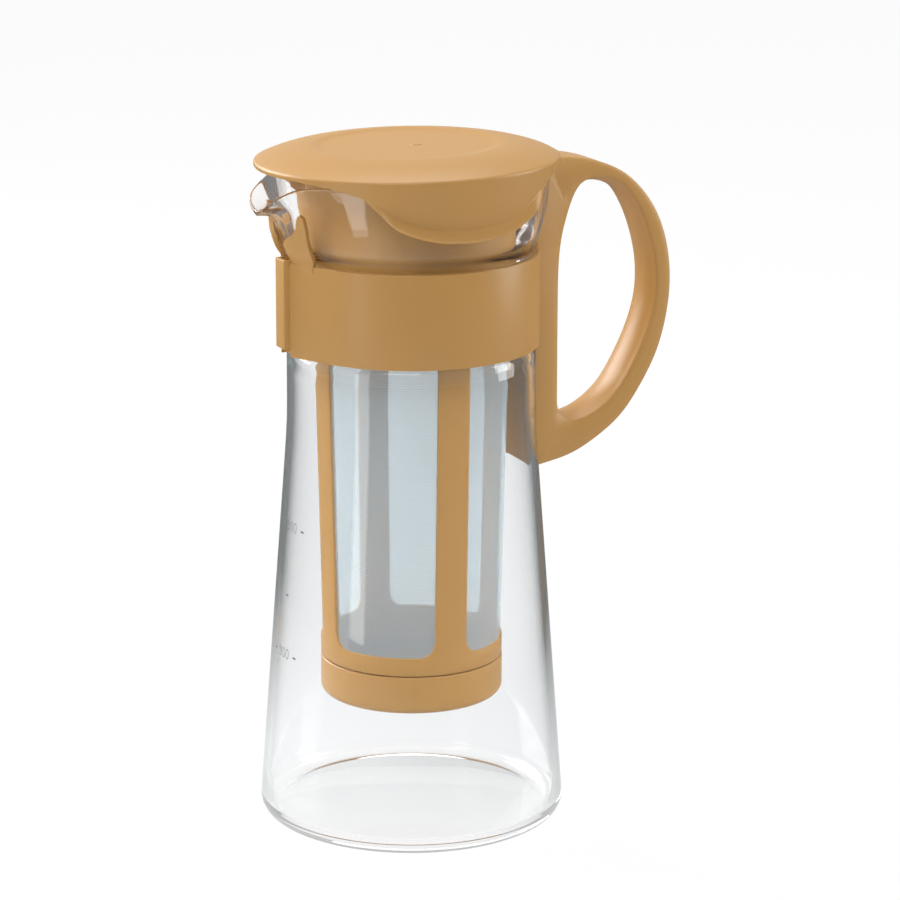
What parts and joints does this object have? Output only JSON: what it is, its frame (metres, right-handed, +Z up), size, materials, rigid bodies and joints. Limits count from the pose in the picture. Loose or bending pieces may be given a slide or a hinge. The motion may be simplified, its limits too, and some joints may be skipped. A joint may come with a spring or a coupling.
{
  "type": "cold brew coffee maker",
  "caption": "Tapered glass jug with a clasped plastic handle band, a pulled pouring spout, a long lift-out mesh strainer with a bottom cap, and a loose crowned lid.",
  "frame": {"origin": "centre of the glass jug's base, on the surface it stands on", "axes": "+Z up along the jug's axis, +X towards the handle, -X towards the pouring spout, -Y the side with the spout at the left"},
  "size_m": [0.1322, 0.0906, 0.2027],
  "materials": {
    "clear_glass": "clear, fire polished",
    "tan_plastic": "satin, opaque, mocha tan",
    "mesh_fabric": "fine woven filter mesh, blue grey"
  },
  "bodies": {
    "jug": {"glass_jug": "clear_glass", "handle_band": "tan_plastic"},
    "clasp": {"band_clasp": "tan_plastic"},
    "strainer": {"strainer_frame": "tan_plastic", "strainer_mesh": "mesh_fabric"},
    "bottom_cap": {"strainer_cap": "tan_plastic"},
    "lid": {"lid": "tan_plastic"}
  },
  "joints": [
    {"name": "clasp_slide", "type": "slide", "parent": "jug", "child": "clasp", "axis": [0, 0, 1], "range_m": [-0.028, 0]},
    {"name": "strainer_lift", "type": "slide", "parent": "jug", "child": "strainer", "axis": [0, 0, 1], "range_m": [0, 0.165]},
    {"name": "cap_pull", "type": "slide", "parent": "strainer", "child": "bottom_cap", "axis": [0, 0, 1], "range_m": [-0.02, 0]},
    {"name": "lid_lift", "type": "slide", "parent": "strainer", "child": "lid", "axis": [0, 0, 1], "range_m": [0, 0.03]}
  ]
}
